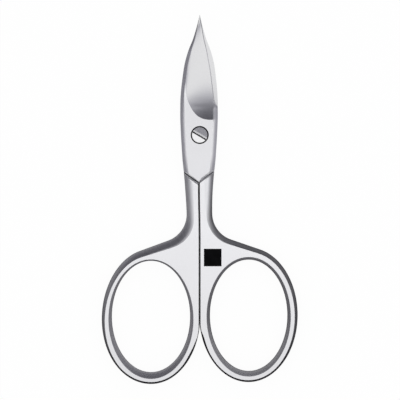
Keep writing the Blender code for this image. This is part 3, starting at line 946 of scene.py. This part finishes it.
def vector_math(tree, operation, *values, output="Vector"):
    """Result of an operation on vectors: a vector, or a number with the output Value."""
    inputs = {f"i{number}": value for number, value in enumerate(values)}
    return node(tree, "ShaderNodeVectorMath", {"operation": operation}, **inputs).outputs[output]


def coordinate(tree, source, axis):
    """One coordinate of a vector."""
    return node(tree, "ShaderNodeSeparateXYZ", Vector=source).outputs[axis]


def ranged(tree, value, low, high, start=0.0, end=1.0, settings=None):
    """Number that goes from start to end as the value goes from low to high."""
    return node(tree, "ShaderNodeMapRange", settings, Value=value, From_Min=low, From_Max=high,
                To_Min=start, To_Max=end).outputs["Result"]


def blend_colours(tree, factor, low, high):
    """Colour output that goes from low to high as the factor goes from 0 to 1."""
    mix = node(tree, "ShaderNodeMix", {"data_type": "RGBA"})
    sockets = [s for s in mix.inputs if s.type == "RGBA"]
    for socket, value in zip(sockets, (low, high)):
        if isinstance(value, bpy.types.NodeSocket):
            tree.links.new(value, socket)
        else:
            socket.default_value = (*value, 1.0)
    tree.links.new(factor, mix.inputs["Factor"])
    return [s for s in mix.outputs if s.type == "RGBA"][0]


def new_group(name, inputs, outputs):
    """New node group with sockets as (title, type), and its entry and exit nodes."""
    tree = bpy.data.node_groups.new(name, "ShaderNodeTree")
    for way, sockets in (("INPUT", inputs), ("OUTPUT", outputs)):
        for title, kind in sockets:
            tree.interface.new_socket(title, in_out=way, socket_type=kind)
    return tree, tree.nodes.new("NodeGroupInput"), tree.nodes.new("NodeGroupOutput")


def grain_group():
    """Node group: fine lines along one direction and soft clouds, both from 0 to 1."""
    tree, entry, leave = new_group(
        "ground_grain", (("Vector", VECTOR), ("Stretch", VECTOR), ("Clouds", NUMBER)),
        (("Lines", NUMBER), ("Cloud", NUMBER)))
    place = entry.outputs["Vector"]
    stretched = vector_math(tree, "MULTIPLY", place, entry.outputs["Stretch"])
    lines = node(tree, "ShaderNodeTexNoise", {"noise_dimensions": "3D"}, Vector=stretched,
                 Scale=1.0, Detail=LINE_DETAIL, Roughness=LINE_ROUGHNESS)
    cloud = node(tree, "ShaderNodeTexNoise", {"noise_dimensions": "3D"}, Vector=place,
                 Scale=entry.outputs["Clouds"], Detail=CLOUD_DETAIL)
    tree.links.new(lines.outputs["Fac"], leave.inputs["Lines"])
    tree.links.new(cloud.outputs["Fac"], leave.inputs["Cloud"])
    return tree


def round_group():
    """Node group: a place as (cos, sin, radius) about a bow's centre, so lines run round it.

    The radius counts the bow's half axes as 1, and the place is the noise's own coordinate:
    slow round the bow and quick across its rim.
    """
    tree, entry, leave = new_group(
        "round_the_bow",
        (("Vector", VECTOR), ("Centre", VECTOR), ("Half Axes", VECTOR), ("Across", NUMBER)),
        (("Vector", VECTOR),))
    offset = vector_math(tree, "SUBTRACT", entry.outputs["Vector"], entry.outputs["Centre"])
    scaled = vector_math(tree, "DIVIDE", offset, entry.outputs["Half Axes"])
    flat = vector_math(tree, "MULTIPLY", scaled, (1.0, 1.0, 0.0))
    unit = vector_math(tree, "NORMALIZE", flat)
    radius = vector_math(tree, "LENGTH", flat, output="Value")
    total = number_math(tree, "ADD", radius, coordinate(tree, scaled, "Z"))
    quick = number_math(tree, "MULTIPLY", total, entry.outputs["Across"])
    place = node(tree, "ShaderNodeCombineXYZ", X=coordinate(tree, unit, "X"),
                 Y=coordinate(tree, unit, "Y"), Z=quick)
    tree.links.new(place.outputs[0], leave.inputs["Vector"])
    return tree


GRAIN = grain_group()
ROUND = round_group()


def new_material(name):
    """New material and its node tree."""
    material = bpy.data.materials.new(name)
    material.use_nodes = True
    return material, material.node_tree


def roughen(tree, shader, grain, low, high):
    """Let a shader's roughness go from low to high with the lines of the grain."""
    rough = ranged(tree, grain.outputs["Lines"], LINE_LOW, LINE_HIGH, low, high)
    tree.links.new(rough, shader.inputs["Roughness"])


def tinted(level, tint):
    """Colour of one level and tint."""
    return tuple(level * share for share in tint)


def mark(tree, axis):
    """One of the two shares that the UV map of the finishes holds."""
    uv = node(tree, "ShaderNodeUVMap", {"uv_map": MARKS}).outputs["UV"]
    return coordinate(tree, uv, axis)


def steel(name, level, roughness, stretch=ALONG_BLADE, variation=0.03, rougher=0.06,
          clouds=STEEL_CLOUDS, tint=steel_tint, edge_tint=1.0, face_level=None,
          narrow_level=None, end_level=None, bow=None):
    """Ground steel whose lines and clouds vary its colour, roughness and relief.

    level is the colour's level and variation the share that the grain takes from it or adds;
    rougher is what the grain adds to the roughness, and stretch the number of lines along X,
    Y and Z. edge_tint is the share of the light that the steel gives back at a grazing angle.
    The colour goes to narrow_level, a painted shade, and face_level with the marks'
    shares, and to end_level, a painted shade, down the shanks and bows. With bow,
    (centre, half axes), the lines run round the bow.
    """
    material, tree = new_material(name)
    shader = tree.nodes["Principled BSDF"]
    shader.inputs["Metallic"].default_value = 1.0
    shader.inputs["Specular Tint"].default_value = (edge_tint, edge_tint, edge_tint, 1.0)
    place = tree.nodes.new("ShaderNodeTexCoord").outputs["Object"]
    vector = place
    if bow:
        vector = node(tree, "ShaderNodeGroup", {"node_tree": ROUND}, Vector=place, Centre=bow[0],
                      Half_Axes=bow[1], Across=LINES_ACROSS_RIM).outputs["Vector"]
    grain = node(tree, "ShaderNodeGroup", {"node_tree": GRAIN}, Vector=vector,
                 Stretch=stretch, Clouds=clouds)
    both = number_math(tree, "ADD", grain.outputs["Cloud"], grain.outputs["Lines"])
    tone = ranged(tree, both, TONE_LOW, TONE_HIGH)
    layers = []
    if narrow_level:
        layers.append((mark(tree, "Y"), narrow_level))
    # Painted shade: the grip darkens down the shanks and bows
    if end_level:
        down = ranged(tree, coordinate(tree, place, "Y"), GRIP_TOP, GRIP_BOTTOM)
        layers.append((down, end_level))
    ends = []
    for share in (1 - variation, 1 + variation):
        end = tinted(level * share, tint)
        for factor, other in layers:
            end = blend_colours(tree, factor, end, tinted(other * share, tint))
        if face_level:
            end = blend_colours(tree, mark(tree, "X"), end, tinted(face_level, steel_tint))
        ends.append(end)
    colour = blend_colours(tree, tone, *ends)
    tree.links.new(colour, shader.inputs["Base Color"])
    roughen(tree, shader, grain, roughness, roughness + rougher)
    bumps = node(tree, "ShaderNodeBump", Height=grain.outputs["Lines"],
                 Strength=RELIEF_STRENGTH, Distance=RELIEF)
    tree.links.new(bumps.outputs["Normal"], shader.inputs["Normal"])
    return material


def half_materials(name):
    """Finishes of a half, in the order FACE, GRIP, BEVEL, RIM, HOLLOW, LAP, BORE."""
    half = HALVES[name]
    centre = (half["side"] * BOW_OFFSET, PIVOT_Y - half["bow_reach"], 0.0)
    half_axes = (half["loop_half_width"], LOOP_HALF_HEIGHT, LOOP_HALF_HEIGHT)
    own_values = {"blasted_rim": {"level": half["rim_level"], "bow": (centre, half_axes)}}
    prefix = name.split("_")[0]
    return [steel(f"{prefix}_{finish}", **values, **own_values.get(finish, {}))
            for finish, values in HALF_FINISHES.items()]


def make_front_half():
    """Front blade, plate, right shank and right bow as one forging."""
    half = HALVES["front_half"]
    materials = half_materials("front_half")
    item = blade_and_plate("front_half_steel", half, materials)
    seat = FRONT_PLATE_TOP - HEAD_SEAT_DEPTH
    hole_radius = PIN_RADIUS + RUNNING_CLEARANCE
    seat_radius = HEAD_RADIUS + HEAD_CLEARANCE
    hole = turned("pivot_cutter", np.array((hole_radius, hole_radius, seat_radius, seat_radius)),
                  np.array((FRONT_PLATE_BOTTOM - OVERRUN, seat, seat,
                            FRONT_PLATE_TOP + OVERRUN)), materials, (BORE,) * 3)
    pocket_size = INLAY_SIZE + 2 * INLAY_GAP
    floor = HANDLE_THICKNESS - INLAY_SINK - INLAY_THICKNESS - INLAY_GAP
    outline = square(pocket_size, (INLAY_FROM_CENTRE, -INLAY_FROM_PIVOT))
    pocket = prism("pocket_cutter", outline, floor, HANDLE_THICKNESS + OVERRUN, materials)
    carve(item, [
        (vee_cutter(half, materials), "DIFFERENCE"),
        (shank_and_bow("right_shank_and_bow", half, materials), "UNION"),
        (hole, "DIFFERENCE"),
        (pocket, "DIFFERENCE"),
    ])
    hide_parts("front_half")
    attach(item, "front_half_body")


def make_back_half():
    """Back blade, plate, left shank and left bow as one forging."""
    half = HALVES["back_half"]
    materials = half_materials("back_half")
    item = blade_and_plate("back_half_steel", half, materials)
    hole_radius = THREAD_RADIUS + RUNNING_CLEARANCE
    hole = turned("thread_cutter", np.array((hole_radius, hole_radius)),
                  np.array((-OVERRUN, BACK_PLATE_TOP + OVERRUN)), materials, (BORE,))
    carve(item, [
        (vee_cutter(half, materials), "DIFFERENCE"),
        (shank_and_bow("left_shank_and_bow", half, materials), "UNION"),
        (hole, "DIFFERENCE"),
    ])
    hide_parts("back_half")
    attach(item, "back_half_body")


def make_screw():
    """Slotted screw, turned from its end up to its head, whose top falls from the slot."""
    materials = [steel(finish, stretch=TURNED_GRAIN, **values)
                 for finish, values in SCREW_FINISHES.items()]
    head_bottom = HEAD_TOP - HEAD_THICKNESS
    pin_bottom = BACK_PLATE_TOP + RUNNING_CLEARANCE
    top_radius = HEAD_RADIUS - HEAD_CHAMFER
    roof = HEAD_ROOF / HEAD_RADIUS
    crown = np.linspace(1, 0, HEAD_RINGS, endpoint=False) * top_radius
    radius = np.concatenate(((THREAD_RADIUS, THREAD_RADIUS, PIN_RADIUS, PIN_RADIUS,
                              HEAD_RADIUS, HEAD_RADIUS), crown))
    height = np.array((BACK_STEP, pin_bottom, pin_bottom, head_bottom, head_bottom,
                       HEAD_TOP - HEAD_ROOF - HEAD_CHAMFER))
    slots = (TURNED_SHANK,) * len(height) + (TURNED_HEAD,) * (HEAD_RINGS - 1)
    height = np.concatenate((height, np.full(HEAD_RINGS, HEAD_TOP)))
    item = turned("pivot_screw_steel", radius, height, materials, slots, roof)
    carve(item, [(slot_cutter(materials), "DIFFERENCE")])
    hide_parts("pivot_screw")
    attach(item, "back_half_body")


def enamel():
    """Dark enamel with a soft, slightly uneven gloss."""
    material, tree = new_material("dark_enamel")
    shader = tree.nodes["Principled BSDF"]
    shader.inputs["Specular IOR Level"].default_value = ENAMEL_SPECULAR
    place = tree.nodes.new("ShaderNodeTexCoord")
    grain = node(tree, "ShaderNodeGroup", {"node_tree": GRAIN}, Vector=place.outputs["Object"],
                 Stretch=ENAMEL_GRAIN, Clouds=ENAMEL_CLOUDS)
    colour = blend_colours(tree, grain.outputs["Cloud"], *enamel_colours)
    tree.links.new(colour, shader.inputs["Base Color"])
    roughen(tree, shader, grain, *enamel_roughness)
    return material


def finish_inlay():
    """Give the CAD inlay its enamel."""
    item = frame["nodes"]["enamel_inlay"]
    item.data.materials.clear()
    item.data.materials.append(enamel())


def any_ray(tree, first, *others):
    """1 for a ray of one of the kinds that are named, and 0 for all others."""
    path = tree.nodes.new("ShaderNodeLightPath")
    found = path.outputs[first]
    for kind in others:
        found = number_math(tree, "MAXIMUM", found, path.outputs[kind])
    return found


def make_floor():
    """Pale floor: a matt surface that keeps the shadow, mostly washed out to white."""
    mesh = bpy.data.meshes.new("floor")
    corners = [(x, y, -FLOOR_SINK) for x, y in square(2 * FLOOR_REACH, (0.0, 0.0))]
    mesh.from_pydata(corners, [], [range(len(corners))])
    floor = add_object("floor", mesh)
    material, tree = new_material("pale_floor")
    tree.nodes.clear()
    matt = node(tree, "ShaderNodeBsdfDiffuse", Color=floor_colour)
    glow = node(tree, "ShaderNodeEmission", Color=white, Strength=1.0)
    seen = any_ray(tree, "Is Camera Ray", "Is Glossy Ray", "Is Transmission Ray")
    share = number_math(tree, "MULTIPLY", seen, floor_wash_share)
    mix = node(tree, "ShaderNodeMixShader", i0=share, i1=matt.outputs[0], i2=glow.outputs[0])
    node(tree, "ShaderNodeOutputMaterial", Surface=mix.outputs[0])
    mesh.materials.append(material)


def make_world():
    """Studio round the object: bright overhead, dimmer low down and dark beyond the tips.

    The brightness falls with s, the direction's share towards the dark part, and goes over
    to the level of the walls as the direction nears the horizon.
    """
    world = bpy.data.worlds.new("studio")
    bpy.context.scene.world = world
    world.use_nodes = True
    tree = world.node_tree
    tree.nodes.clear()
    place = tree.nodes.new("ShaderNodeTexCoord").outputs["Generated"]
    s = vector_math(tree, "DOT_PRODUCT", place, dark_direction, output="Value")
    above = ranged(tree, s, 0.0, dark_share, ZENITH_LEVEL, CORNER_LEVEL)
    change = vector_math(tree, "DOT_PRODUCT", place, wall_change, output="Value")
    beside = number_math(tree, "ADD", change, WALL_LEVEL)
    high = ranged(tree, coordinate(tree, place, "Z"), *wall_end_shares,
                  settings={"interpolation_type": "SMOOTHSTEP"})
    level = node(tree, "ShaderNodeMix", {"data_type": "FLOAT"}, Factor=high, A=beside,
                 B=above).outputs["Result"]
    tint = ranged(tree, level, CORNER_LEVEL, ZENITH_LEVEL)
    colour = blend_colours(tree, tint, dark_tint, white[:3])
    studio = node(tree, "ShaderNodeBackground", Color=colour, Strength=level)
    plain = node(tree, "ShaderNodeBackground", Color=white, Strength=1.0)
    share = any_ray(tree, "Is Camera Ray", "Is Diffuse Ray")
    mix = node(tree, "ShaderNodeMixShader", i0=share, i1=studio.outputs[0], i2=plain.outputs[0])
    node(tree, "ShaderNodeOutputWorld", Surface=mix.outputs[0])


def make_lamp():
    """One large soft lamp above the bows, for a soft shadow."""
    data = bpy.data.lights.new("soft_lamp", "AREA")
    data.shape = "SQUARE"
    data.size = LAMP_SIZE
    data.energy = LAMP_POWER
    lamp = add_object("soft_lamp", data)
    lamp.location = LAMP_PLACE
    lamp.rotation_euler = LAMP_TURN
    lamp.visible_camera = False
    lamp.visible_glossy = False


def make_camera():
    """Long lens straight above, with the tips up."""
    data = bpy.data.cameras.new("camera")
    data.sensor_width = SENSOR_WIDTH
    data.lens = data.sensor_width * (CAMERA_PLACE[2] - FOCUS_HEIGHT) / (PICTURE_WIDTH * PIXEL)
    camera = add_object("camera", data)
    camera.location = CAMERA_PLACE
    bpy.context.scene.camera = camera


make_front_half()
make_back_half()
make_screw()
finish_inlay()
make_floor()
make_world()
make_lamp()
make_camera()
bpy.context.scene.view_settings.view_transform = "Standard"
